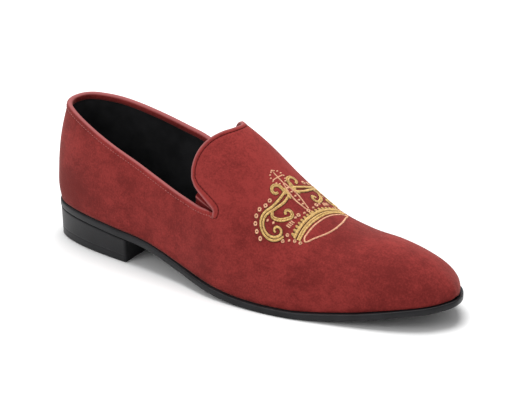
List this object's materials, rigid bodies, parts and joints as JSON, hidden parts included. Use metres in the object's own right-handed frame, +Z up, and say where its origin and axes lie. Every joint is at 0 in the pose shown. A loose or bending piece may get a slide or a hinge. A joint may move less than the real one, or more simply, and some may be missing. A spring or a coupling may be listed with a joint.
{
  "type": "evening slipper",
  "caption": "Evening slipper for the right foot: suede upper cut from one piece with a rounded tab, rolled top edge, elastic side gores, thin leather sole and low block heel.",
  "frame": {"origin": "on the floor, under the centre of the bounding box (to within 0.5 mm: it is the centre of the sole)", "axes": "+X from the heel to the toe, +Y to the medial side, +Z up"},
  "size_m": [0.3009, 0.1, 0.0994],
  "materials": {
    "suede": "dark red suede with a short nap",
    "elastic": "dark wine woven elastic",
    "sole_leather": "black, satin",
    "lining": "black, matt"
  },
  "bodies": {
    "root": {"outsole": "sole_leather", "heel": "sole_leather", "insole": "lining", "upper": "suede", "topline_binding": "suede", "gore_lateral": "elastic", "gore_medial": "elastic"}
  },
  "joints": []
}
